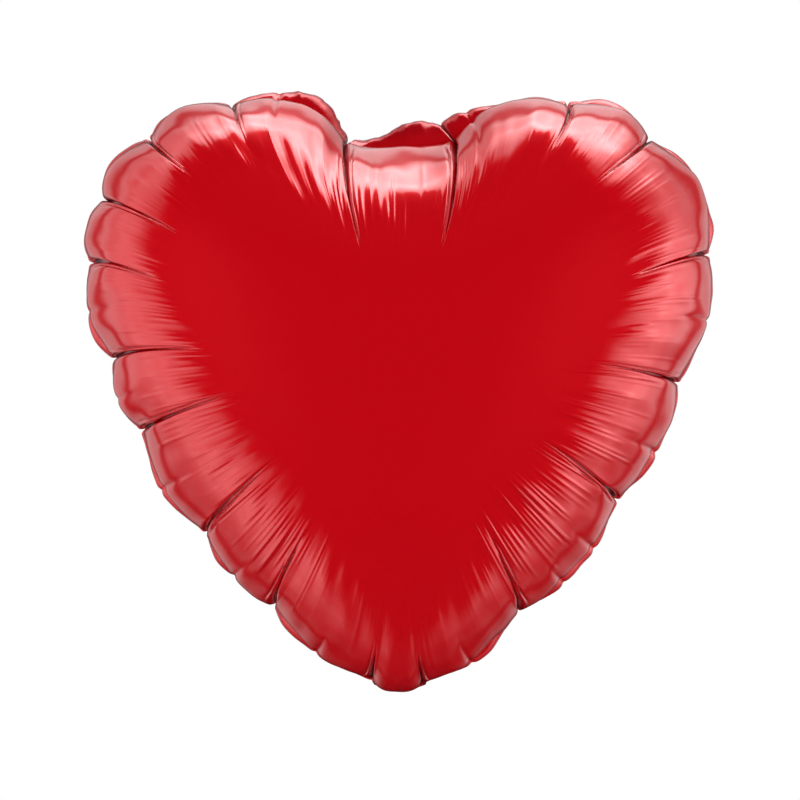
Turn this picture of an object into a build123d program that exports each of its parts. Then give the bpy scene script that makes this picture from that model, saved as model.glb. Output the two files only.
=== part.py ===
from build123d import *
import math
import os

# Heart-shaped foil balloon, filled, in millimetres.
# +Z is up, the front panel bulges towards -Y, and the origin is the middle of the neck's fold
# at the heart's bottom tip. The two panels are sealed face to face in the plane Y = 0.

# Outline of the filled heart: half of it is four tangent arcs, from the bottom tip to the cleft.
tip_radius = 34.7
tip_turn = 30.25
flank_radius = 354.4
flank_turn = 47.9
lobe_radius = 97.0
lobe_turn = 140.1
cleft_height = 323.5

# Panels: a flat heat-sealed margin all round, and a dome over the rest.
seal_width = 6.0
dome_depth = 86.0
dome_centre_height = 195.0
dome_steps = 7
flat_top_share = 0.12

# Films. The real ones are about 0.03 mm thick, and are drawn thicker to stay solid.
film = 0.8
ply = 0.3

# Valve: two plies between the panels, from the end of the tail to well inside the heart.
valve_width = 24.0
valve_inner_length = 110.0

# Tail: the neck's films, folded up behind the heart.
tail_width = 33.0
tail_length = 65.0
tail_curl_radius = 55.0
fold_drop = 0.9
fold_gap = 1.3


def heart_face(inset, size, depth):
    """The heart inset by a width and shrunk towards the dome's middle, lying at Y = -depth."""
    lowest = dome_centre_height + (inset - dome_centre_height) * size
    highest = dome_centre_height + (cleft_height - inset - dome_centre_height) * size
    with BuildSketch(Plane.XZ.offset(depth)) as sketch:
        with BuildLine():
            tip = JernArc((0, lowest), (1, 0), (tip_radius - inset) * size, tip_turn)
            flank = JernArc(tip @ 1, tip % 1, (flank_radius - inset) * size, flank_turn)
            lobe = JernArc(flank @ 1, flank % 1, (lobe_radius - inset) * size, lobe_turn)
            cleft = TangentArc(lobe @ 1, (0, highest), tangent=lobe % 1)
            Line(cleft @ 1, (0, lowest))
        make_face()
        mirror(about=Plane.YZ)
    return sketch.sketch


def dome(inset, depth):
    """A solid dome on the heart: its sections shrink along a quarter of an ellipse."""
    last_angle = math.acos(flat_top_share)
    sections = []
    for step in range(dome_steps + 1):
        angle = last_angle * step / dome_steps
        height = depth * math.sin(angle) / math.sin(last_angle)
        sections.append(heart_face(inset, math.cos(angle), height))
    return loft(sections)


def valve_strip(thickness, bottom, top, side):
    """A flat strip of the valve's width that lies against the plane Y = 0 on one side."""
    strip = Box(valve_width, thickness, top - bottom)
    return Pos(0, side * thickness / 2, (bottom + top) / 2) * strip


def front_panel():
    """The front film: a flat margin with the dome, open behind, and room for the valve's ply."""
    margin = extrude(heart_face(0, 1, 0), film, dir=(0, -1, 0))
    outer = dome(seal_width, dome_depth)
    inner = dome(seal_width + film, dome_depth - film)
    return margin + outer - inner - valve_strip(ply, -film, 2 * seal_width, -1)


def tail_layer(width, near, far):
    """A strip of the tail between two distances from its middle, curled up behind the heart."""
    middle = (near + far) / 2 - fold_drop
    section = Pos(0, fold_gap, middle) * Rot(90, 0, 0) * Rectangle(width, abs(far - near))
    curl_axis = Axis((0, fold_gap, tail_curl_radius - fold_drop), (1, 0, 0))
    return revolve(section, curl_axis, math.degrees(tail_length / tail_curl_radius))


def tail_film(side):
    """One film of the tail, with room for its ply of the valve: +1 is the upper, back film."""
    return tail_layer(tail_width, 0, side * film) - tail_layer(valve_width, 0, side * ply)


front = front_panel()
parts = {
    "front_panel": front,
    "back_panel": mirror(front, about=Plane.XZ),
    "valve_front_ply": valve_strip(ply, 0, valve_inner_length, -1),
    "valve_back_ply": valve_strip(ply, 0, valve_inner_length, 1),
    "tail_front_film": tail_film(-1),
    "tail_back_film": tail_film(1),
    "tail_valve_front_ply": tail_layer(valve_width, 0, -ply),
    "tail_valve_back_ply": tail_layer(valve_width, 0, ply),
}

os.makedirs("parts", exist_ok=True)
for name, shape in parts.items():
    export_step(shape, f"parts/{name}.step")
    print(name, "volume", round(shape.volume), "box", shape.bounding_box().size)
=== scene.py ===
# %% [markdown]
# # A heart-shaped foil balloon
# The balloon is two heart-shaped films, sealed together round their edge and blown up tight.
# The film can't stretch, so the seam has too much length once the heart is round, and the film
# there gathers into bays with sharp creases between them. This file makes that puckered skin, the
# folded tail and the studio, around the plain model that holds the sizes and the hinge.

# %% the frame
import math

import bpy
import numpy as np
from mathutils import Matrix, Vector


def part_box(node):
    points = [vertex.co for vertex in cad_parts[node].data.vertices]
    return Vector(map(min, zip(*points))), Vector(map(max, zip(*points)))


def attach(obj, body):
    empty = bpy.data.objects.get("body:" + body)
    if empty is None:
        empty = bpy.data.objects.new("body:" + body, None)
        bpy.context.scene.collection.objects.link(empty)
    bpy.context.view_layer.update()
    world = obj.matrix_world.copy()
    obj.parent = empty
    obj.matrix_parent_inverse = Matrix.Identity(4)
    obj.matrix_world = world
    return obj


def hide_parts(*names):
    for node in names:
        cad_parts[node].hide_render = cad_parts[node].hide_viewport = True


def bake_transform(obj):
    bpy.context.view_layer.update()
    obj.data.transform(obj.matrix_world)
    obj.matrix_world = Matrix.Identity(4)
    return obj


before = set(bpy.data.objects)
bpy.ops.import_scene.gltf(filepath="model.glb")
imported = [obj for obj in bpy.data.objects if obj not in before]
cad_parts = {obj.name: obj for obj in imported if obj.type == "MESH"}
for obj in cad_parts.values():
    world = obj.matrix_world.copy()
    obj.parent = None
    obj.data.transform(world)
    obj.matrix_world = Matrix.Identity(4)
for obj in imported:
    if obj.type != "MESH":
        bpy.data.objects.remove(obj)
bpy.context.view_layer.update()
mm = 0.001
front_low, front_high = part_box("front_panel")
heart_width = front_high.x - front_low.x
heart_height = front_high.z - front_low.z
heart_depth = front_high.y - front_low.y
print("heart", round(heart_width, 4), "wide", round(heart_height, 4), "high",
      round(heart_depth, 4), "a side")

# %% [markdown]
# ## The seam's line
# Seen from the front, half the heart is four arcs, each tangent to the next: the tip, the flank,
# the lobe and the hollow of the cleft. Walking along the arcs and putting a point down every
# fraction of a millimetre gives a line that can be measured, offset and shared by both films.

# %% outline of the heart
tip_radius, tip_turn = 34.7 * mm, math.radians(30.25)
flank_radius, flank_turn = 354.4 * mm, math.radians(47.9)
lobe_radius, lobe_turn = 97.0 * mm, math.radians(140.1)
cleft_radius, cleft_turn = 49.7 * mm, math.radians(38.25)
points_an_arc = 700


def half_outline():
    """Points of the heart's right half, from the bottom tip to the cleft, as x and z."""
    arcs = [(tip_radius, tip_turn), (flank_radius, flank_turn), (lobe_radius, lobe_turn)]
    arcs.append((-cleft_radius, cleft_turn))
    points, place, heading = [np.zeros(2)], np.zeros(2), 0.0
    for radius, turn in arcs:
        centre = place + radius * np.array([-math.sin(heading), math.cos(heading)])
        side = 1 if radius > 0 else -1
        for angle in np.linspace(0, turn, points_an_arc)[1:]:
            now = heading + side * angle
            points.append(centre + radius * np.array([math.sin(now), -math.cos(now)]))
        place, heading = points[-1], heading + side * turn
    return np.array(points)


def points_at(line, shares):
    """Points of a line at shares of its length, and the length."""
    steps = np.linalg.norm(np.diff(line, axis=0), axis=1)
    along = np.concatenate([[0], np.cumsum(steps)])
    places = [np.interp(shares * along[-1], along, line[:, k]) for k in range(2)]
    return np.stack(places, axis=1), along[-1]


# %% the whole line
right_half = half_outline()
left_half = right_half * [-1, 1]
heart_line = np.vstack([left_half, right_half[::-1]])
seam_length = points_at(heart_line, np.zeros(1))[1]
print("seam", round(seam_length, 3), "m round, cleft at", round(right_half[-1, 1], 4))

# %% [markdown]
# ## Where the seam gathers
# The seam is about a fifth too long for the rim it has to lie on, so it gathers. Between two
# creases the skin swells into a bay, and in each crease the film dives into a narrow valley with
# a small loop of film beside it. The creases are listed by how far round the seam they are, from
# the bottom tip up the left side, with their length, their depth, their lean and the side of
# their loop. The mesh's columns crowd together at the creases, where the film turns sharply.

# %% creases and columns
crease_list = [
    # share of the seam, length in mm, depth in mm, lean, side of the loop
    (0.0164, 52, 4.6, 0.10, 1), (0.0794, 92, 5.8, 0.22, 1), (0.1310, 104, 5.8, 0.20, -1),
    (0.1935, 104, 5.6, 0.12, 1), (0.2330, 96, 5.6, 0.05, 1), (0.2847, 84, 4.6, -0.05, -1),
    (0.3190, 94, 5.0, 0.10, -1), (0.3599, 72, 5.0, 0.05, 1), (0.4080, 58, 3.2, 0.00, 1),
    (0.4736, 108, 7.0, 0.10, 1), (0.5270, 110, 7.0, -0.06, -1), (0.5920, 66, 4.4, 0.05, 1),
    (0.6400, 84, 4.8, -0.12, -1), (0.7110, 88, 5.2, 0.05, 1), (0.7800, 94, 5.4, -0.10, -1),
    (0.8480, 104, 5.8, -0.18, 1), (0.9250, 98, 5.8, -0.22, -1), (0.9875, 50, 4.6, -0.10, -1),
]
# the small folds that only nick the edge: share of the seam, length in mm, depth in mm
notch_list = [(0.4317, 40, 1.6), (0.5406, 46, 2.0), (0.7450, 50, 1.8), (0.8170, 56, 2.0),
              (0.8750, 50, 1.8), (0.8980, 44, 1.6), (0.9600, 50, 1.8), (0.0480, 44, 1.6),
              (0.1050, 44, 1.6), (0.1620, 52, 1.8), (0.2130, 40, 1.4), (0.2600, 40, 1.4)]
columns = 2000
print(len(crease_list), "creases and", len(notch_list), "small folds")


# %% columns that crowd at the creases
def crowded_shares(count):
    """Shares of the seam's length for the columns, about three times as close at the creases."""
    fine = np.linspace(0, 1, 20001)
    crowd = np.ones(len(fine))
    for crease in crease_list:
        gap = (fine - crease[0] + 0.5) % 1 - 0.5
        crowd += 2.6 * np.exp(-(gap * seam_length / (5 * mm)) ** 2)
    total = np.concatenate([[0], np.cumsum((crowd[1:] + crowd[:-1]) / 2)])
    return np.interp(np.arange(count) / count, total / total[-1], fine)


share_round = crowded_shares(columns)
crease_shares = np.array([crease[0] for crease in crease_list])
outline, _ = points_at(heart_line, share_round)
print("columns", round(seam_length * np.diff(share_round).min() / mm, 2), "to",
      round(seam_length * np.diff(share_round).max() / mm, 2), "mm apart")


# %% distances along the seam
def from_place(share):
    """Distance along the seam from a place on it, for every column."""
    gap = (share_round - share + 0.5) % 1 - 0.5
    return gap * seam_length


def near_place(share, reach):
    """1 at a place on the seam, and falling to nothing a few reaches away."""
    return np.exp(-(from_place(share) / reach) ** 2)


# %% [markdown]
# ## The smooth skin
# A blown-up film over a heart-shaped hole rises steeply from the rim and is nearly flat in the
# middle. Its height follows from how much of the rim each point sees: the sum of one over the
# squared distance to every bit of the rim. On a round balloon that is exact. The profile then
# follows the known curve of a round foil balloon, whose film bends but doesn't stretch.

# %% the profile of a foil balloon
def balloon_profile(share):
    """Height from 0 at the rim to 1 in the middle, for 0 to 1 of the way out from the middle."""
    q = np.linspace(0, 1, 2000)
    x = 1 - q * q
    slope = np.empty_like(x)
    slope[1:] = x[1:] ** 2 / np.sqrt(1 - x[1:] ** 4) * 2 * q[1:]
    slope[0] = 1.0
    height = np.concatenate([[0], np.cumsum((slope[1:] + slope[:-1]) / 2 * np.diff(q))])
    return np.interp(np.sqrt(1 - share), q, height / height[-1])


# %% how far a point is from the whole rim
def lift_over(points, rim):
    """How far each point is from the whole rim: zero on it, and largest in the heart's middle."""
    nearness = np.zeros(len(points))
    length = np.linalg.norm(np.roll(rim, -1, axis=0) - rim, axis=1)
    for start in range(0, len(points), 4000):
        block = points[start:start + 4000]
        gap = ((block[:, None, :] - rim[None, :, :]) ** 2).sum(axis=2)
        nearness[start:start + 4000] = (length / np.maximum(gap, (0.3 * mm) ** 2)).sum(axis=1)
    return 1 / nearness


# %% [markdown]
# The mesh has rings that follow the seam and columns that run in from it. A column leaves the
# seam nearly square to it and then bends towards the middle, as the film's folds do. Rings lie
# close together near the seam, where the film is puckered, and far apart in the smooth middle.

# %% the seam, and where the rings lie
seam_inset = 3.0 * mm
middle = np.array([0.0, 0.55 * heart_height])
tangent = np.roll(outline, -1, axis=0) - np.roll(outline, 1, axis=0)
tangent /= np.linalg.norm(tangent, axis=1)[:, None]
outward = np.stack([-tangent[:, 1], tangent[:, 0]], axis=1)
if (outward * (outline - middle)).sum() < 0:
    outward = -outward
seam_line = outline - outward * seam_inset
ring_places = np.array([0, 1, 2.4, 4.2, 6.4, 9, 12, 15.5, 19.5, 24, 29, 34, 39, 44, 49, 54, 59, 64, 69,
                        74, 79, 84, 89, 94, 99.5, 105, 111, 117, 124, 131]) * mm


def smoothstep(x):
    x = np.clip(x, 0, 1)
    return x * x * (3 - 2 * x)


# %% columns that run from the seam to the middle
def smooth_skin():
    """Rings of the smooth dome: x, height over the seam's plane and z, from the seam inwards."""
    q = np.linspace(0, 1, 72)
    way = (q * q)[:, None, None]
    reach = (28 + 12 * smoothstep(seam_line[:, 1] / (130 * mm))) * mm
    to_middle = middle - seam_line
    to_middle /= np.linalg.norm(to_middle, axis=1)[:, None]
    inwards = 0.3 * to_middle - 0.7 * outward
    inwards /= np.linalg.norm(inwards, axis=1)[:, None]
    control = seam_line + inwards * reach[:, None]
    flat = (1 - way) ** 2 * seam_line + 2 * way * (1 - way) * control + way ** 2 * middle
    away = np.linalg.norm(flat - seam_line, axis=2)
    lift = lift_over(flat.reshape(-1, 2), seam_line[::2]).reshape(away.shape)
    safe = 3 * mm
    first = np.argmax(away > safe, axis=0)
    columns_here = np.arange(columns)
    at_safe = lift[first, columns_here] / away[first, columns_here]
    blend = away / away[first, columns_here]
    near = away * (1 / math.pi * (1 - blend) + at_safe * blend)
    lift = np.where(away < away[first, columns_here], near, lift)
    height = heart_depth * balloon_profile(np.sqrt(np.clip(1 - lift / lift.max(), 0, 1)))
    skin = np.stack([flat[..., 0], height, flat[..., 1]], axis=2)
    step = np.linalg.norm(np.diff(skin, axis=0), axis=2)
    along = np.concatenate([np.zeros((1, columns)), np.cumsum(step, axis=0)])
    return q, skin, along


q_places, fine_skin, fine_along = smooth_skin()
print("film from seam to middle", fine_along[-1].min().round(4), "to", fine_along[-1].max().round(4))


# %% rings on the smooth skin
def rings_of_skin():
    """The smooth skin at the rings: fixed distances near the seam, then shares of what is left."""
    wide, shares = ring_places[-1], np.linspace(0, 1, 15)[1:-1]
    rings = np.empty((len(ring_places) + len(shares), columns, 3))
    depths = np.empty(rings.shape[:2])
    for j in range(columns):
        along = fine_along[:, j]
        depths[:, j] = np.concatenate([ring_places, wide + (along[-1] - wide) * shares])
        q = np.interp(depths[:, j], along, q_places)
        for k in range(3):
            rings[:, j, k] = np.interp(q, q_places, fine_skin[:, j, k])
    return rings, depths


def directions(rings):
    """The way out of the skin at each point, from the lines along and across the rings."""
    across = np.gradient(rings, axis=0)
    round_it = np.roll(rings, -1, axis=1) - np.roll(rings, 1, axis=1)
    out = np.cross(across, round_it)
    out /= np.linalg.norm(out, axis=2)[..., None]
    flat_out = np.stack([outward[:, 0], np.zeros(columns), outward[:, 1]], axis=1)
    out *= np.sign((out * flat_out).sum(axis=2)[2])[None, :, None]
    out[0] = flat_out
    return out, flat_out


smooth_rings, ring_depth = rings_of_skin()
skin_out, seam_out = directions(smooth_rings)
print("rings", smooth_rings.shape, "out in the middle", skin_out[-1, 0].round(2))

# %% [markdown]
# The fine folds of a foil balloon don't start at the seam. They lie where the steep rim turns over
# into the flat front. That shoulder is found here: how far in from the seam the smooth skin's
# tilt has fallen to 28 degrees, for every column, evened out along the seam.

# %% the shoulder where the rim turns over
def shoulder_depth(tilt_wanted):
    """Distance from the seam, along the film, where the smooth skin's tilt falls to an angle."""
    tilt = np.degrees(np.arccos(np.clip(np.abs(skin_out[..., 1]), 0, 1)))
    found = np.array([np.interp(-tilt_wanted, -tilt[2:40, j], ring_depth[2:40, j])
                      for j in range(columns)])
    window = np.hanning(81) / np.hanning(81).sum()
    around = np.concatenate([found[-40:], found, found[:40]])
    return np.convolve(around, window, mode="valid")


shoulder = shoulder_depth(28)
from_shoulder = ring_depth - shoulder
print("shoulder in from the seam", shoulder.min().round(4), "to", shoulder.max().round(4))

# %% [markdown]
# ## Bays and creases
# Each bay stands up between its two creases like a blown film between two tight lines. A crease
# is a valley with a sharp bottom. It opens into a slot shaped like a lens near the seam, and then
# grows narrow and shallow as it runs in. The loop beside it is a ridge and a second, shorter
# valley. Everything here fades out before the flat middle, which is drum tight. At the tip the
# film has little room to gather, so its two creases gape open like a letter V.

# %% bays
def bay_arch():
    """1 in the middle of each bay and 0 at the creases, as a blown film between two tight lines."""
    edges = np.concatenate([crease_shares, [crease_shares[0] + 1]])
    place = (share_round - edges[0]) % 1 + edges[0]
    bay = np.searchsorted(edges, place, side="right") - 1
    across = (place - edges[bay]) / (edges[bay + 1] - edges[bay])
    return 1 - np.abs(2 * across - 1) ** 2.2


arch = bay_arch()
pucker_reach, pucker_fade = 70 * mm, 48 * mm
puckered_zone = 1 - smoothstep((ring_depth - pucker_reach) / pucker_fade)
print(len(crease_shares), "bays, puckered to", round(pucker_reach + pucker_fade, 3), "m from the seam")


# %% creases
def gaping(share):
    """How far in mm a crease's mouth gapes: up to 1.2 for the ones next to the tip."""
    from_tip = min(share, 1 - share)
    return 1.2 * (1 - from_tip / 0.04) if from_tip < 0.04 else 0


def crease_field(draw):
    """How far the creases pull the skin in, ring by ring, and how deep in a crease each point is, which
    is used to paint shade.
    """
    pull, inside = np.zeros(ring_depth.shape), np.zeros(ring_depth.shape)
    for share, length, depth, lean, loop in crease_list:
        along = ring_depth / (length * mm)
        path = lean * ring_depth * 0.5 + draw.uniform(-2, 2) * mm * np.sin(along * math.pi)
        gap = from_place(share)[None, :] - path
        keep = np.clip(1 - along, 0, 1) ** 0.75 * (0.5 + 0.5 * smoothstep(along / 0.22))
        width = 0.45 + 0.3 * np.clip(1 - along, 0, 1) + 0.35 * np.exp(-((along - 0.24) / 0.10) ** 2)
        width = (width + gaping(share) * np.clip(1 - ring_depth / (15 * mm), 0, 1)) * mm
        valley = np.exp(-(np.abs(gap) / width) ** 1.3)
        ridge = np.exp(-((gap - loop * 3.0 * width) / (1.0 * width)) ** 2)
        second = np.exp(-np.abs(gap - loop * 4.6 * width) / (0.6 * width))
        loop_keep = np.clip(1 - np.abs(along - 0.58) / 0.40, 0, 1) ** 0.6
        pull += depth * mm * (1.15 * valley * keep - 0.20 * ridge * loop_keep + 0.40 * second * loop_keep)
        # how deep in a crease a point is: the material uses it to paint shade into the ink
        inside = np.maximum(inside, valley * smoothstep(keep / 0.5))
    for share, length, depth in notch_list:
        keep = np.clip(1 - ring_depth / (length * mm), 0, 1)
        pull += depth * mm * np.exp(-(np.abs(from_place(share)) / (1.9 * mm)) ** 1.4) * keep
    return pull, inside


# %% slow waves round the seam
def waves_round(draw, counts, size):
    """A smooth wave round the whole seam, made of a few waves of random size and place."""
    wave = np.zeros(columns)
    for count in counts:
        wave += draw.normal() * np.sin(2 * math.pi * (count * share_round + draw.random()))
    return wave / np.abs(wave).max() * size


# %% [markdown]
# ## From rings to a film
# Every second column ends where the rings have become so short that the columns crowd. The two
# rings on either side of such a place are joined by triangles. Numbers that the nodes and the
# material need later, such as the distance from the seam, are kept on the points.

# %% a piece from points and faces
def new_piece(name, points, faces, extras):
    """A smooth-shaded object at the origin, with named numbers kept on its points."""
    mesh = bpy.data.meshes.new(name)
    mesh.from_pydata(np.asarray(points).tolist(), [], faces)
    for key, values in extras.items():
        layer = mesh.attributes.new(key, "FLOAT", "POINT")
        layer.data.foreach_set("value", np.asarray(values, dtype=np.float32))
    mesh.polygons.foreach_set("use_smooth", [True] * len(mesh.polygons))
    piece = bpy.data.objects.new(name, mesh)
    bpy.context.scene.collection.objects.link(piece)
    return piece


# %% faces between two rings
def ring_faces(a, b, n, m):
    """Faces between a ring of n points from number a and one of m points, n or half of n, from b."""
    faces = []
    for j in range(m):
        k = (j + 1) % m
        if n == m:
            faces.append((a + j, a + k, b + k, b + j))
        else:
            left, mid, right = a + 2 * j, a + 2 * j + 1, a + (2 * j + 2) % n
            faces += [(left, mid, b + j), (mid, b + k, b + j), (mid, right, b + k)]
    return faces


# %% meshing the rings
def film_mesh(name, rings, flip, thin_at, extras):
    """A mesh of rings, from outermost to innermost, with half as many columns after each thin_at."""
    points, faces, starts, counts, kept = [], [], [], [], []
    stride = 1
    for i, ring in enumerate(rings):
        if i in thin_at:
            stride *= 2
        starts.append(sum(counts))
        chosen = np.arange(0, columns, stride)
        counts.append(len(chosen))
        points.append(ring[chosen])
        kept.append(i * columns + chosen)
    for i in range(len(rings) - 1):
        faces += ring_faces(starts[i], starts[i + 1], counts[i], counts[i + 1])
    last, middle_point = starts[-1], sum(counts)
    points.append(rings[-1].mean(axis=0)[None])
    faces += [(last + j, last + (j + 1) % counts[-1], middle_point) for j in range(counts[-1])]
    if flip:
        faces = [face[::-1] for face in faces]
    kept = np.concatenate(kept)
    numbers = {key: np.append(v.reshape(-1)[kept], v.reshape(-1)[-1]) for key, v in extras.items()}
    return new_piece(name, np.concatenate(points), faces, numbers)


# %% [markdown]
# ## The heat-sealed margin
# Outside the seam the two films lie on each other in a narrow sealed margin. The swelling bays
# push it over towards the back, so from the front only slivers of it show. At the tip it is
# nearly gone, because the neck leaves the heart there.

# %% the margin's width, tilt and sway
seal_gap = 0.12 * mm
away_from_tip = 1 - near_place(0, 24 * mm)
seal_width = 5.4 * mm * (1 - 0.9 * (1 - away_from_tip))
seal_rings = (1.0, 0.67, 0.33)
shared_draw = np.random.default_rng(11)
seam_sway = waves_round(shared_draw, (9, 13, 18, 23), 2.2 * mm) * (0.35 + 0.65 * arch) * away_from_tip
seal_tilt = np.radians(66 + waves_round(shared_draw, (7, 12, 19, 26, 31), 20) * away_from_tip)
seam_pull = crease_field(np.random.default_rng(5))[0]
held_smooth = 1 - 0.97 * near_place(0, 36 * mm) * np.exp(-ring_depth / (10 * mm))
back = np.array([0, 1.0, 0])
print("margin", round(seal_width.min() / mm, 2), "to", round(seal_width.max() / mm, 2), "mm wide")


# %% bays that stand out past the seam
def swelling(draw, swell, tip_share, cleft_lift):
    """How far the film stands out past the seam in each bay, and over the seam at the cleft."""
    roll = ring_depth / (8 * mm) * np.exp(1 - ring_depth / (8 * mm))
    uneven = (1 + waves_round(draw, (11, 17, 24), 0.4)) * (tip_share + (1 - tip_share) * away_from_tip)
    lifted = cleft_lift * (near_place(0.514, 30 * mm) + 0.45 * near_place(0.450, 24 * mm))
    lift_roll = ring_depth / (13 * mm) * np.exp(1 - ring_depth / (13 * mm))
    bulge = np.maximum(0.25 + 0.75 * arch, 1 - away_from_tip)
    return swell * uneven * bulge * roll + lifted * lift_roll


# %% rings of the margin
def sealed_margin(seam, side):
    """Rings of the flat margin outside the seam, pushed over towards the back."""
    lean = seam_out * np.cos(seal_tilt)[:, None] + back * np.sin(seal_tilt)[:, None]
    face = back * np.cos(seal_tilt)[:, None] - seam_out * np.sin(seal_tilt)[:, None]
    places = [share * seal_width[:, None] for share in seal_rings]
    return np.array([seam + lean * place + face * side * seal_gap / 2 for place in places])


# %% [markdown]
# ## Where the film is furrowed and where it is crushed
# Fine furrows are strongest on the lower flanks, where the straight seam has the most film to
# lose, and weakest on the lobes. At the back of the cleft the seam turns inward, so the film
# there has far too much length and is crushed into small facets.

# %% furrowed places
# place on the seam, how far it reaches in mm, and how much stronger or weaker the furrows are
furrowed_places = [(0.105, 27, 1.35), (0.165, 26, 0.5), (0.886, 38, 1.25), (0.815, 28, 0.5),
                   (0.50, 30, 0.42), (0.43, 75, -0.22), (0.58, 65, -0.20), (0.046, 22, -0.26),
                   (0.957, 22, -0.26)]


def furrow_strength():
    """How strong the fine furrows are, at every point."""
    strength = np.full(columns, 0.32)
    for place, reach, more in furrowed_places:
        strength += more * near_place(place, reach * mm)
    return np.broadcast_to(np.maximum(strength, 0) * away_from_tip, ring_depth.shape)


# %% crushed places
def crumpling(side):
    """How much the film is crushed: only at the back of the cleft, where it has the most to spare."""
    if side < 0:
        return np.zeros(ring_depth.shape)
    place = np.clip(near_place(0.505, 55 * mm) + near_place(0.452, 30 * mm), 0, 1)
    fades = 1 - smoothstep((ring_depth - 60 * mm) / (40 * mm))
    return place * smoothstep(ring_depth / (5 * mm)) * fades


# %% [markdown]
# ## The two films
# Each film is the smooth skin, pushed in at its creases and out in its bays. Both films share
# the same seam, so their creases meet there, and each goes its own way further in. The back one
# swells more, and a puff of it rises behind the cleft.

# %% one film
def film(name, side, seed, swell, tip_share, cleft_lift):
    """One panel's film, with its margin: side is -1 for the front and 1 for the back."""
    draw = np.random.default_rng(seed)
    at_seam = np.exp(-ring_depth / (4 * mm))
    own_pull, inside = crease_field(draw)
    eased = 1 - (0.8 * near_place(0.527, 14 * mm) if side > 0 else 0)
    pull = (seam_pull * at_seam + own_pull * eased * (1 - at_seam)) * held_smooth
    small = waves_round(draw, (41, 53, 67, 88), 0.5 * mm) * arch * np.exp(-ring_depth / (16 * mm))
    bays = 2.8 * mm * (arch - 1) * np.exp(-ring_depth / (55 * mm)) * puckered_zone * held_smooth
    rings = smooth_rings + skin_out * (bays + small - pull)[..., None]
    rings += seam_out * swelling(draw, swell, tip_share, cleft_lift)[..., None]
    rings[..., 1] = rings[..., 1] * side + seam_sway * np.exp(-ring_depth / (16 * mm))
    margin = sealed_margin(rings[0], side)
    none = np.zeros(margin.shape[:2])
    from_seam = np.concatenate([[-share * seal_width for share in seal_rings], ring_depth])
    extras = {
        "from_seam": from_seam,
        "along_seam": np.broadcast_to(share_round * seam_length, from_seam.shape),
        "from_shoulder": np.concatenate([none - 1, from_shoulder]),
        "furrowed": np.concatenate([none, furrow_strength()]),
        # the crumpled number shapes the crush, and the material also uses it to paint shade into the ink
        # and gloss
        "crumpled": np.concatenate([none, crumpling(side)]),
        # this number only paints shade into the ink in the creases
        "inside_fold": np.concatenate([none, inside]),
        # the slot number only paints shade: nearly black ink and dimmed gloss near the seam
        "slot": np.concatenate([none, inside * (1 - smoothstep((ring_depth - 14 * mm) / (20 * mm)))]),
    }
    rings = np.concatenate([margin, rings])
    thin_at = [len(rings) - 13, len(rings) - 8, len(rings) - 4]
    return film_mesh(name, rings, side > 0, thin_at, extras)


# %% front and back
front_foil = film("front_foil", -1, 21, 3.9 * mm, 0.75, 0)
back_foil = film("back_foil", 1, 22, 6.6 * mm, 0.12, 17 * mm)
for piece in (front_foil, back_foil):
    print(piece.name, len(piece.data.vertices), "points", len(piece.data.polygons), "faces")

# %% [markdown]
# ## Fine furrows
# Over the shoulder the film is drawn into many fine furrows that run in from the seam. They
# repeat along the seam with a spacing, a length and a depth of their own, so a node tree makes
# them. It numbers the furrows along the seam, gives each number random ends and a random depth,
# and cuts a valley with a sharp bottom there. A second, slow noise makes the bays uneven, and a
# third crushes the film where it is said to be crumpled.
#
# Every tree in this file is built with one small function. It adds a node of any kind, sets it
# up, fills its inputs in order or by name, and gives back one of its outputs.

# %% one function for every node
from functools import partial


def fill_inputs(tree, node, inputs):
    """Sets a node's inputs, each with a value or with a link from another node's output."""
    for key, value in inputs.items():
        if isinstance(value, bpy.types.NodeSocket):
            tree.links.new(value, node.inputs[key])
        else:
            node.inputs[key].default_value = value


def add_node(tree, kind, *values, out=0, named=None, **settings):
    """Adds a node, with settings, and inputs in order or by name, and returns one output."""
    node = tree.nodes.new(kind)
    for key, value in settings.items():
        setattr(node, key, value)
    fill_inputs(tree, node, {**dict(enumerate(values)), **(named or {})})
    return node.outputs[out] if node.outputs else node


MATH, NOISE, MAP = "ShaderNodeMath", "ShaderNodeTexNoise", "ShaderNodeMapRange"
ATTRIBUTE, CHANCE = "GeometryNodeInputNamedAttribute", "ShaderNodeTexWhiteNoise"

# %% furrows numbered along the seam
def furrow_numbers(add, given, along):
    """Each point's furrow number, and its distance from that furrow's middle in spacings."""
    slow = add(MATH, along, 0.3, operation="MULTIPLY")
    place = add("ShaderNodeCombineXYZ", slow, 0.0, given["Seed"])
    noise = add(NOISE, named={"Vector": place, "Scale": 1.0, "Detail": 1.0, "Roughness": 0.5})
    noise = add(MATH, noise, 0.5, operation="SUBTRACT")
    noise = add(MATH, noise, 3.0, operation="MULTIPLY")
    phase = add(MATH, along, noise, operation="ADD")
    furrow = add(MATH, phase, operation="ROUND")
    aside = add(MATH, phase, furrow, operation="SUBTRACT")
    return furrow, add(MATH, aside, operation="ABSOLUTE")


# %% a random range for each furrow
# shift of the seed, power that favours small numbers, size and least value: for the inner end
# and the outer end, in reaches from the shoulder, and for the depth
FURROW_RANGES = ((0.0, 2.0, 0.9, 0.05), (101.5, 1.2, -2.0, -0.4), (57.25, 1.3, 0.85, 0.25))


def furrow_chances(add, given, furrow):
    """Random numbers for each furrow: where it ends, where it starts, and how deep it is."""
    found = []
    for shift, power, size, least in FURROW_RANGES:
        place = add(MATH, furrow, given["Seed"], operation="ADD")
        place = add(MATH, place, shift, operation="ADD")
        chance = add(CHANCE, named={"W": place}, out="Value", noise_dimensions="1D")
        chance = add(MATH, chance, power, operation="POWER")
        found.append(add(MATH, chance, size, least, operation="MULTIPLY_ADD"))
    return found


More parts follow.
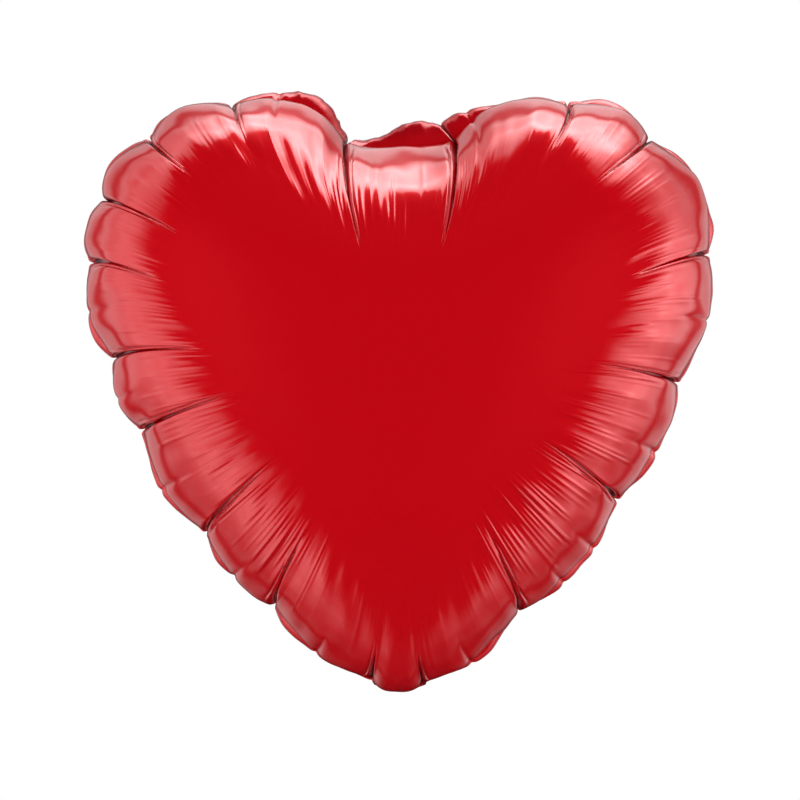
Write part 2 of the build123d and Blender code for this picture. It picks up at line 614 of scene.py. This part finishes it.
# %% the valley of each furrow
def furrow_cut(add, given, number, along, inward, outward_share):
    """How deep the furrows are at each point: a sharp valley that fades at both its ends."""
    furrow, aside = furrow_numbers(add, given, along)
    far_end, near_end, depth = furrow_chances(add, given, furrow)
    risen = add(MATH, near_end, 0.45, operation="ADD")
    rise = add(MAP, inward, near_end, risen, interpolation_type="SMOOTHSTEP")
    end = add(MATH, far_end, -1.0, operation="MULTIPLY")
    start = add(MATH, 0.5, far_end, operation="SUBTRACT")
    fall = add(MAP, outward_share, end, start, interpolation_type="SMOOTHSTEP")
    wave = add(MATH, aside, math.pi, operation="MULTIPLY")
    wave = add(MATH, wave, operation="SINE")
    cut = add(MATH, 1.0, wave, operation="SUBTRACT")
    hump = add(MATH, rise, fall, operation="MULTIPLY")
    for factor in (depth, hump, number["furrowed"], given["Depth"]):
        cut = add(MATH, cut, factor, operation="MULTIPLY")
    return cut


# %% slow swells between the creases
def slow_swell(add, given, along, inward, outward_share):
    """Gentle unevenness, several furrows wide, that stays outside the flat middle."""
    x = add(MATH, along, 0.28, operation="MULTIPLY")
    y = add(MATH, inward, 0.9, operation="MULTIPLY")
    seed = add(MATH, given["Seed"], 31.0, operation="ADD")
    place = add("ShaderNodeCombineXYZ", x, y, seed)
    slow = add(NOISE, named={"Vector": place, "Scale": 1.0, "Detail": 0.0, "Roughness": 0.5})
    slow = add(MATH, slow, 0.5, operation="SUBTRACT")
    outside = add(MAP, inward, -3.6, -2.2, interpolation_type="SMOOTHSTEP")
    inside = add(MAP, outward_share, -1.2, 0.2, interpolation_type="SMOOTHSTEP")
    window = add(MATH, outside, inside, operation="MULTIPLY")
    slow = add(MATH, slow, window, operation="MULTIPLY")
    return add(MATH, slow, given["Swell"], operation="MULTIPLY")


# %% crushed film
def crushed_film(add, given, number):
    """Facets with sharp ridges between them, where the film is said to be crumpled."""
    place = add("GeometryNodeInputPosition")
    size = add(MATH, 1.0, given["Crush size"], operation="DIVIDE")
    crush = add(NOISE, named={"Vector": place, "Scale": size, "Detail": 1.3})
    crush = add(MATH, crush, 0.5, operation="SUBTRACT")
    crush = add(MATH, crush, operation="ABSOLUTE")
    crush = add(MATH, crush, number["crumpled"], operation="MULTIPLY")
    return add(MATH, crush, given["Crush depth"], operation="MULTIPLY")


# %% the whole tree
FURROW_INPUTS = ("Spacing", "Reach", "Depth", "Swell", "Crush size", "Crush depth", "Seed")


def furrow_tree(material):
    """Moves a film's points along its normals: numbered furrows, slow swells and crushed film."""
    tree = bpy.data.node_groups.new("furrows", "GeometryNodeTree")
    tree.interface.new_socket("Film", in_out="INPUT", socket_type="NodeSocketGeometry")
    for name in FURROW_INPUTS:
        tree.interface.new_socket(name, in_out="INPUT", socket_type="NodeSocketFloat")
    tree.interface.new_socket("Film", in_out="OUTPUT", socket_type="NodeSocketGeometry")
    add, given = partial(add_node, tree), tree.nodes.new("NodeGroupInput").outputs
    fields = ("along_seam", "from_shoulder", "furrowed", "crumpled")
    number = {name: add(ATTRIBUTE, name, data_type="FLOAT") for name in fields}
    along = add(MATH, number["along_seam"], given["Spacing"], operation="DIVIDE")
    inward = add(MATH, number["from_shoulder"], given["Reach"], operation="DIVIDE")
    outward_share = add(MATH, inward, -1.0, operation="MULTIPLY")
    cut = furrow_cut(add, given, number, along, inward, outward_share)
    swell = slow_swell(add, given, along, inward, outward_share)
    lift = add(MATH, swell, crushed_film(add, given, number), operation="ADD")
    lift = add(MATH, lift, cut, operation="SUBTRACT")
    normal = add("GeometryNodeInputNormal")
    offset = add("ShaderNodeVectorMath", named={0: normal, "Scale": lift}, operation="SCALE")
    moved = add("GeometryNodeSetPosition", named={"Geometry": given["Film"], "Offset": offset})
    real = add("GeometryNodeRealizeInstances", moved)
    made = add("GeometryNodeSetMaterial", named={"Geometry": real, "Material": material})
    add("NodeGroupOutput", made)
    return tree


# %% running the tree
def apply_tree(piece, tree, **values):
    """Runs the tree on a piece with values for its named inputs, and keeps the plain mesh it makes."""
    change = piece.modifiers.new(tree.name, "NODES")
    change.node_group = tree
    for item in tree.interface.items_tree:
        key = item.name.replace(" ", "_").lower()
        if item.in_out == "INPUT" and key in values:
            change[item.identifier] = values[key]
    depsgraph = bpy.context.evaluated_depsgraph_get()
    made = bpy.data.meshes.new_from_object(piece.evaluated_get(depsgraph))
    made.name = piece.name
    piece.modifiers.clear()
    piece.data = made
    return piece


# %% [markdown]
# ## Colours
# Colours are written as the usual six hex digits, as a paint chart gives them. Blender works with
# linear light, so one function turns them round.

# %% from hex to linear
def linear(code):
    """A colour of six hex digits as linear red, green, blue and alpha."""
    shares = [int(code[k:k + 2], 16) / 255 for k in (0, 2, 4)]
    return tuple(c / 12.92 if c <= 0.04045 else ((c + 0.055) / 1.055) ** 2.4 for c in shares) + (1.0,)


# %% a new material
BUMP = "ShaderNodeBump"


def new_material(name):
    """A new node material, its tree, and its shader, ready to be set."""
    material = bpy.data.materials.new(name)
    material.use_nodes = True
    return material, material.node_tree, material.node_tree.nodes["Principled BSDF"]


# %% [markdown]
# ## Red foil
# The skin is nylon film with a breath of aluminium on it, printed all over with clear red ink by
# gravure and then given a gloss. The pigment hides most of the metal, so the eye gets a flat deep
# red straight on, and sharp pale reflections from the gloss where the film turns away. In a
# crease light bounces from wall to wall and comes out a darker red: that shade is painted into the
# ink, a darker red in folds and crushed film and nearly black in slots, and the gloss is turned
# down there. On the margin the heated bar has pressed a fine waffle into the film and dulled it.
# Values: nylon has an IOR of 1.53 and the gloss is set a little higher, and the metal below adds
# 28 percent of its own.

# %% metallised nylon, gravure red
# painted shade: the third colour darkens creases and crushed film, and the fourth turns slots nearly
# black
INK_RED, INK_DEEP, FOLD_SHADE_RED, SLOT_SHADE_RED = "c00411", "b0030e", "7a020c", "200104"


def ink_colour(add, places, number, slot):
    """Red ink with faint clouds, and painted shade: a darker red in folds and crushed film, and nearly
    black in slots.
    """
    # the clouds are about 60 mm across
    wanted = {"Vector": places, "Scale": 1 / (60 * mm), "Detail": 3.0, "Roughness": 0.5}
    clouds = add(NOISE, named=wanted)
    cloudy = add(MATH, clouds, 0.10, operation="MULTIPLY")
    # painted shade: the ink turns a darker red deep in a crease
    fold_shade = add(MATH, number["inside_fold"], 0.75, operation="MULTIPLY")
    # painted shade: crushed film is given the darker crease red too
    crushed = add(MATH, number["crumpled"], 0.6, operation="MULTIPLY")
    ink = linear(INK_RED)
    # a mix node's colours are its inputs 6 and 7 and its output 2
    layers = ((cloudy, INK_DEEP), (fold_shade, FOLD_SHADE_RED), (slot, SLOT_SHADE_RED), (crushed, FOLD_SHADE_RED))
    for share, colour in layers:
        colours = {0: share, 6: ink, 7: linear(colour)}
        ink = add("ShaderNodeMix", named=colours, out=2, data_type="RGBA")
    return ink


# %% the pressed margin
def waffle(add, number, sealed):
    """The pattern that the sealing bar leaves on the margin, with a pitch of 1.2 mm."""
    pitch = 2 * math.pi / (1.2 * mm)
    waves = []
    for name in ("from_seam", "along_seam"):
        turns = add(MATH, number[name], pitch, operation="MULTIPLY")
        waves.append(add(MATH, turns, operation="SINE"))
    posts = add(MATH, *waves, operation="MULTIPLY")
    return add(MATH, posts, sealed, operation="MULTIPLY")


# %% the foil
def foil_material():
    """Red foil: even ink, faint ink clouds, painted shade in folds, slots and crushed film, fine grain
    and a pressed margin.
    """
    material, tree, shader = new_material("metallised_nylon_gravure_red")
    add = partial(add_node, tree)
    places = add("ShaderNodeTexCoord", out="Object")
    fields = ("from_seam", "along_seam", "inside_fold", "slot", "crumpled")
    number = {name: add("ShaderNodeAttribute", out="Fac", attribute_name=name) for name in fields}
    # painted shade: the slot mask turns the ink nearly black at the mouth of each crease and dims its
    # gloss
    slot = add(MATH, number["slot"], 0.9, operation="MULTIPLY")
    sealed = add(MATH, number["from_seam"], -0.2 * mm, operation="LESS_THAN")
    # ink grain, drawn at 0.9 mm so that it shows at all
    grain = add(NOISE, named={"Vector": places, "Scale": 1 / (0.9 * mm), "Detail": 1.0})
    roughness = add(MATH, grain, 0.06, 0.26, operation="MULTIPLY_ADD")
    roughness = add(MATH, sealed, 0.12, roughness, operation="MULTIPLY_ADD")
    fine = add(BUMP, named={"Height": grain, "Distance": 0.004 * mm, "Strength": 0.5})
    pressed = {"Height": waffle(add, number, sealed), "Distance": 0.06 * mm, "Strength": 0.7,
               "Normal": fine}
    pressed = add(BUMP, named=pressed)
    # painted shade: where walls of film face each other, the gloss is turned down in slots and crushed
    # film, for the bright surround those walls shut out
    gloss_shade = add(MATH, number["crumpled"], 0.55, operation="MULTIPLY")
    gloss_shade = add(MATH, slot, gloss_shade, operation="MAXIMUM")
    gloss = add(MATH, 1.0, gloss_shade, operation="SUBTRACT")
    fill_inputs(tree, shader, {
        "Base Color": ink_colour(add, places, number, slot), "Roughness": roughness, "Metallic": 0.28,
        "Specular IOR Level": 0.10, "Coat Weight": gloss, "Coat Roughness": 0.035, "Coat IOR": 1.60,
        "Normal": pressed, "Coat Normal": pressed})
    return material


foil = foil_material()
print("made", foil.name)

# %% [markdown]
# ## Clear valve film
# The valve is two strips of clear polyethylene film, blown as a tube and slit. It lets most light
# through, looks slightly milky, and carries faint straight streaks from the die it was blown from.

# %% blown polyethylene
def valve_material():
    """Clear soft film with die streaks along its length, drawn 0.7 mm apart."""
    material, tree, shader = new_material("blown_polyethylene_clear")
    add = partial(add_node, tree)
    places = add("ShaderNodeTexCoord", out="Object")
    stretch = (1 / (0.7 * mm), 1 / (40 * mm), 1 / (40 * mm))
    stretched = add("ShaderNodeMapping", named={"Vector": places, "Scale": stretch})
    streaks = add(NOISE, named={"Vector": stretched, "Scale": 1.0, "Detail": 2.0})
    milk = add(MAP, named={"Value": streaks, "To Min": 0.16, "To Max": 0.30})
    bump = add(BUMP, named={"Height": streaks, "Distance": 0.01 * mm, "Strength": 0.6})
    fill_inputs(tree, shader, {"Base Color": linear("eaf0f2"), "Roughness": milk, "Normal": bump,
                               "Transmission Weight": 0.85, "IOR": 1.51})
    return material


valve_film = valve_material()
print("made", valve_film.name)

# %% [markdown]
# ## The furrows are cut
# Both films get the same kind of furrows with different seeds, 3.8 mm apart, as the real film's
# stiffness gives. The front film isn't crushed anywhere, and the back one is at the cleft only.

# %% furrows on both films
furrows = furrow_tree(foil)
for seed, piece in ((3.0, front_foil), (8.0, back_foil)):
    apply_tree(piece, furrows, seed=seed, spacing=3.8 * mm, reach=26 * mm, depth=0.92 * mm,
               swell=1.7 * mm, crush_size=11 * mm, crush_depth=6 * mm)
print("furrowed", [(piece.name, len(piece.data.polygons)) for piece in (front_foil, back_foil)])

# %% the films join the frame
for piece, node in ((front_foil, "front_panel"), (back_foil, "back_panel")):
    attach(piece, "envelope")
    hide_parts(node)
print("flat hearts of 457 by 432 mm")

# %% [markdown]
# ## The valve inside
# The two clear strips hang up inside the heart from the neck, 24 mm wide and 110 mm long. The gas
# presses them together, so they lie on each other as one slightly wavy strip. Nothing of them
# shows from outside, but they are there for a model that is cut open.

# %% valve strips
valve_width, valve_length, neck_gap = 24 * mm, 110 * mm, 7 * mm


def grid_faces(rows, places, flip):
    """Four-sided faces of a grid of points, row by row, turned over if asked."""
    starts = [i * places + j for i in range(rows - 1) for j in range(places - 1)]
    faces = [(a, a + 1, a + places + 1, a + places) for a in starts]
    return [face[::-1] for face in faces] if flip else faces


def valve_strip(name, node, side):
    """One strip of the valve, on its own side of the seam's plane, that waves towards its free end."""
    places, rows = 17, 80
    u = np.linspace(-valve_width / 2, valve_width / 2, places)[None, :]
    z = np.linspace(neck_gap, valve_length, rows)[:, None]
    free = smoothstep((z - 15 * mm) / (60 * mm))
    sway = (2.2 * mm * np.sin(z / (13 * mm)) + 0.8 * mm * np.sin(u / (5 * mm) + z / (9 * mm))) * free
    y = sway + side * (0.1 * mm + 0.5 * mm * free * (1 - (2 * u / valve_width) ** 2))
    points = np.stack([u + 0 * z, y, z + 0 * u], axis=2).reshape(-1, 3)
    strip = new_piece(name, points, grid_faces(rows, places, side > 0), {})
    strip.data.materials.append(valve_film)
    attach(strip, "envelope")
    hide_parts(node)
    return strip


for name, node, side in (("valve_front", "valve_front_ply", -1), ("valve_back", "valve_back_ply", 1)):
    valve_strip(name, node, side)
print("valve strips", round(valve_length / mm), "mm long")

# %% [markdown]
# ## The tail
# At the tip both films run on as a strip 33 mm wide, the neck through which the balloon is
# filled, with the two clear valve strips between them. Here it is folded back and curls up behind
# the heart. Each of its four layers is the same curled grid at its own distance from the middle.
# The foils are sealed to each other along both long edges, so there the layers come together.

# %% layers of the tail
tail_width, tail_length = 33 * mm, 65 * mm
tail_curl, tail_root, fold_drop = 55 * mm, 0.3 * mm, 0.9 * mm
edge_seal, corner = 5 * mm, 4 * mm
across, steps = 49, 84


def tail_places(width, level):
    """Points of a layer, at a level from the strip's middle, and its two distances, across and along."""
    u = np.linspace(-width / 2, width / 2, across)[None, :]
    over_corner = np.clip(np.abs(u) - (width / 2 - corner), 0, corner)
    lengths = tail_length - (corner - np.sqrt(corner ** 2 - over_corner ** 2))
    v = np.linspace(0, 1, steps)[:, None] * lengths
    u = u * (1 - 0.14 * np.exp(-(v / (13 * mm)) ** 2))
    middle_share = 1 - smoothstep((np.abs(u) - (tail_width / 2 - edge_seal - 2 * mm)) / (2.5 * mm))
    sway = 0.5 * mm * np.sin(v / (4.1 * mm) + u / (6 * mm))
    sway = sway + 0.3 * mm * np.sin(v / (2.3 * mm) - u / (9 * mm))
    lift = level * (0.12 + 0.88 * middle_share) + sway * smoothstep(v / (18 * mm))
    tip_arc = tip_radius - np.sqrt(tip_radius ** 2 - u ** 2)
    tuck = tip_arc * np.exp(-(v / (22 * mm)) ** 2) + 2.6 * mm * np.exp(-(v / (14 * mm)) ** 2)
    tuck = tuck + 1.0 * mm * np.exp(-(v / (3 * mm)) ** 2)
    turn, radius = v / tail_curl, tail_curl - lift
    y = tail_root + radius * np.sin(turn)
    z = tail_curl - fold_drop - radius * np.cos(turn) + tuck
    return np.stack([u + 0 * v, y, z], axis=2).reshape(-1, 3), u, v


# %% one layer
def tail_layer(name, width, level, flip):
    """One layer of the tail as a piece that bends across the fold."""
    points, u, v = tail_places(width, level)
    faces = grid_faces(steps, across, flip)
    edge = (tail_width / 2 - np.abs(u) - edge_seal + 0 * v).reshape(-1)
    extras = {"from_seam": edge, "along_seam": (v + 0 * u).reshape(-1)}
    piece = new_piece(name, points, faces, extras)
    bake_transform(piece)
    return piece


# %% the four layers
red, clear = (foil, "red_foil"), (valve_film, "clear_valve_film")
# name, CAD node, width, level, whether its faces are turned over, then material and slot
tail_rows = [
    ("tail_front_foil", "tail_front_film", tail_width, -0.62 * mm, True, red),
    ("tail_back_foil", "tail_back_film", tail_width, 0.62 * mm, False, red),
    ("tail_front_valve", "tail_valve_front_ply", valve_width, -0.16 * mm, True, clear),
    ("tail_back_valve", "tail_valve_back_ply", valve_width, 0.16 * mm, False, clear),
]
for name, node, width, level, flip, (material, slot) in tail_rows:
    layer = tail_layer(name, width, level, flip)
    layer.data.materials.append(material)
    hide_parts(node)
print("tail of", len(tail_rows), "layers,", round(tail_length / mm), "mm long")

# %% [markdown]
# ## The studio
# Foil shows what it faces, so the surround matters more than the lamps. A photographer hangs pale
# cards round a balloon and leaves the side of the camera dark, which keeps the middle a deep
# even red and gives the rim its pink band. The surround is drawn once as a function of the
# direction: how far it is from the camera's side, and which way round. The film's gloss sees the
# cards, its ink gets even light, and the background is plain and pale.

# %% the surround
# angle away from the camera's side, in degrees, and how bright the cards are there
card_rings = [(0, 0.0), (46, 0.0), (52, 0.07), (58, 0.38), (66, 0.68), (75, 0.95), (85, 1.0),
              (98, 0.72), (117, 0.6), (123, 0.04), (180, 0.0)]
far_cards = [(0, 0.0), (126, 0.0), (131, 0.5), (146, 0.5), (158, 0.05), (180, 0.0)]
# way round, in degrees from the right towards the top: brightness, and where the cards begin
card_round = [(-180, 1.4, 13), (-158, 1.5, 2), (-140, 1.5, -7), (-127, 0.6, 4), (-118, 0.25, 12),
              (-106, 0.03, 15), (-72, 0.03, 20), (-62, 0.2, 45), (-50, 0.6, 40), (-36, 1.1, 20),
              (-20, 1.7, 2), (-7, 3.0, 2), (8, 1.6, 20), (20, 1.4, 28), (38, 1.5, 18), (50, 2.5, 14),
              (62, 8.0, 16), (72, 7.5, 26), (80, 6.5, 52), (89, 8.5, 140), (98, 5.5, 100),
              (107, 3.6, 62), (115, 2.0, 90), (126, 1.6, 40), (142, 1.3, 12)]


# %% stops of brightness
RAMP = "ShaderNodeValToRGB"


def set_stops(ramp_output, stops):
    """Puts a colour ramp's stops, each a place from 0 to 1 and a brightness."""
    marks = ramp_output.node.color_ramp.elements
    while len(marks) > 1:
        marks.remove(marks[-1])
    marks[0].position, marks[0].color = stops[0][0], (stops[0][1],) * 3 + (1,)
    for position, value in stops[1:]:
        marks.new(position).color = (value, value, value, 1)
    return ramp_output


# the way round, a gain and a shift are all kept between 0 and 1 in the ramps
most_gain, least_shift, shift_span = 10, -10, 200
closed_round = card_round + [(180, *card_round[0][1:])]
gain_stops = [((turn + 180) / 360, gain / most_gain) for turn, gain, _ in closed_round]
shift_stops = [((turn + 180) / 360, (shift - least_shift) / shift_span)
               for turn, _, shift in closed_round]
ring_stops = [(turn / 180, value) for turn, value in card_rings]
far_stops = [(turn / 180, value) for turn, value in far_cards]
print("ramps with", len(ring_stops), len(far_stops), len(gain_stops), "and", len(shift_stops), "stops")


# %% which way a ray goes
def ray_places(add, parts):
    """How far a direction is from the camera's side, and which way round, each from 0 to 1."""
    front = add(MATH, parts["Y"], -1.0, operation="MULTIPLY")
    away = add(MATH, front, operation="ARCCOSINE")
    away = add(MATH, away, math.pi, operation="DIVIDE")
    turn = add(MATH, parts["Z"], parts["X"], operation="ARCTAN2")
    return away, add(MATH, turn, 0.5 / math.pi, 0.5, operation="MULTIPLY_ADD")


# %% where the cards begin
def shifted_away(add, away, round_it):
    """The distance from the camera's side, less a shift that fades out at 110 degrees."""
    shift = set_stops(add(RAMP, round_it), shift_stops)
    shift = add(MATH, shift, shift_span / 180, least_shift / 180, operation="MULTIPLY_ADD")
    keep = add(MATH, away, 180 / 110, operation="MULTIPLY")
    keep = add(MATH, 1.0, keep, operation="SUBTRACT")
    keep = add(MATH, keep, 0.0, operation="MAXIMUM")
    keep = add(MATH, keep, 110 / 57, operation="MULTIPLY")
    shift = add(MATH, shift, keep, operation="MULTIPLY")
    return add(MATH, away, shift, operation="SUBTRACT")


# %% how bright the cards are
def card_brightness(add, parts, away, round_it):
    """The near cards, times their gain, and the far ones, which hardly follow it."""
    gain = set_stops(add(RAMP, round_it), gain_stops)
    gain = add(MATH, gain, float(most_gain), operation="MULTIPLY")
    near = set_stops(add(RAMP, shifted_away(add, away, round_it)), ring_stops)
    far = set_stops(add(RAMP, away), far_stops)
    far = add(MATH, far, add(MATH, gain, 0.35, operation="POWER"), operation="MULTIPLY")
    far = add(MATH, far, add(MATH, gain, 1.0, operation="MINIMUM"), operation="MULTIPLY")
    bright = add(MATH, near, gain, far, operation="MULTIPLY_ADD")
    # below and behind there is only dim floor
    low = add(MAP, parts["Z"], -0.2, -0.55, interpolation_type="SMOOTHSTEP")
    behind = add(MAP, parts["Y"], 0.0, 0.3, interpolation_type="SMOOTHSTEP")
    dim = add(MATH, low, behind, operation="MULTIPLY")
    dim = add(MATH, dim, -0.6, 1.0, operation="MULTIPLY_ADD")
    return add(MATH, bright, dim, operation="MULTIPLY")


# %% the studio's world
def studio_world():
    """A world of soft cards for the gloss, an even light for the ink, and a pale background."""
    world = bpy.data.worlds.new("studio")
    world.use_nodes = True
    tree = world.node_tree
    tree.nodes.clear()
    add = partial(add_node, tree)
    towards = add("ShaderNodeTexCoord", out="Generated")
    parts = add("ShaderNodeSeparateXYZ", towards).node.outputs
    bright = card_brightness(add, parts, *ray_places(add, parts))
    # paper is never lit quite evenly
    cloud = add(NOISE, named={"Vector": towards, "Scale": 3.2, "Detail": 1.5})
    uneven = add(MAP, cloud, 0.3, 0.7, 0.75, 1.3)
    bright = add(MATH, bright, uneven, operation="MULTIPLY")
    cards = add("ShaderNodeBackground", (1, 0.97, 0.98, 1), bright)
    even = add("ShaderNodeBackground", (0.9, 0.9, 0.9, 1), 0.62)
    pale = add("ShaderNodeBackground", (1, 1, 1, 1), 1.0)
    ray = add("ShaderNodeLightPath").node.outputs
    light = add("ShaderNodeMixShader", ray["Is Glossy Ray"], even, cards)
    shown = add("ShaderNodeMixShader", ray["Is Camera Ray"], light, pale)
    add("ShaderNodeOutputWorld", shown)
    return world


scene = bpy.context.scene
scene.world = studio_world()
scene.view_settings.view_transform = "Standard"
print("studio with", len(card_rings), "rings of brightness")

# %% [markdown]
# ## Lamps and floor
# Large soft lamps in front, at the sides, below and behind light the ink evenly, so that it stays
# a full red where the film turns away. They don't show in the gloss, because the cards already
# do that. The floor lies well below, since the balloon hangs in the air.

# %% soft lamps
from mathutils import Vector


def soft_lamp(name, round_it, up, power):
    """A square lamp 1.2 m wide, 2 m from the heart's middle, that looks at it."""
    round_it, up = math.radians(round_it), math.radians(up)
    way = Vector((math.sin(round_it) * math.cos(up), -math.cos(round_it) * math.cos(up), math.sin(up)))
    data = bpy.data.lights.new(name, "AREA")
    data.size, data.energy = 1.2, power
    lamp = bpy.data.objects.new(name, data)
    lamp.location = Vector((0, 0, heart_height / 2)) + way * 2.0
    lamp.rotation_euler = way.to_track_quat("Z", "Y").to_euler()
    lamp.visible_glossy = False
    scene.collection.objects.link(lamp)


for row in (("lamp_left", -35, 4, 15.5), ("lamp_right", 35, 4, 15.5), ("lamp_top", 0, 55, 9),
            ("lamp_side_left", -85, 0, 14), ("lamp_side_right", 85, 0, 14), ("lamp_below", 0, -70, 9),
            ("lamp_back_left", 145, 25, 14), ("lamp_back_right", -145, 25, 14)):
    soft_lamp(*row)

# %% studio paper
def floor_material():
    """Pale studio paper, with a faint tooth, that fades away at its edge."""
    material, tree, shader = new_material("matt_white_studio_paper")
    add = partial(add_node, tree)
    places = add("ShaderNodeTexCoord", out="Object")
    tooth = add(NOISE, named={"Vector": places, "Scale": 1 / (2 * mm), "Detail": 2.0})
    tint = add(MAP, named={"Value": tooth, "To Min": 0.86, "To Max": 0.90})
    bump = add(BUMP, named={"Height": tooth, "Distance": 0.05 * mm})
    reach = add("ShaderNodeVectorMath", places, out="Value", operation="LENGTH")
    fade = add(MAP, reach, 0.5, 1.15, 1.0, 0.0, interpolation_type="SMOOTHSTEP")
    fill_inputs(tree, shader, {"Base Color": tint, "Roughness": 0.9, "Normal": bump, "Alpha": fade})
    return material


# %% the floor
floor_radius, floor_height, floor_sides = 1.2, -0.35, 96
turns = np.linspace(0, 2 * math.pi, floor_sides + 1)[:-1]
rim = np.stack([floor_radius * np.cos(turns), floor_radius * np.sin(turns),
                np.full(floor_sides, floor_height)], axis=1)
floor = new_piece("floor", rim, [tuple(range(floor_sides))], {})
floor.data.materials.append(floor_material())
floor.visible_glossy = False
print("floor", floor_height, "m from the tip")

# %% [markdown]
# ## The camera
# A long lens, straight on and level with the heart's middle, as balloons are shown in a
# catalogue. From 2 m away the rim hides nothing of the shape.

# %% camera
lens = bpy.data.cameras.new("camera")
lens.lens, lens.sensor_width = 151, 36
camera = bpy.data.objects.new("camera", lens)
camera.location = (0.0003, -2.0, 0.1747)
camera.rotation_euler = (math.radians(90), 0, 0)
scene.collection.objects.link(camera)
scene.camera = camera
print("camera", tuple(round(value, 4) for value in camera.location), "lens", lens.lens, "mm")
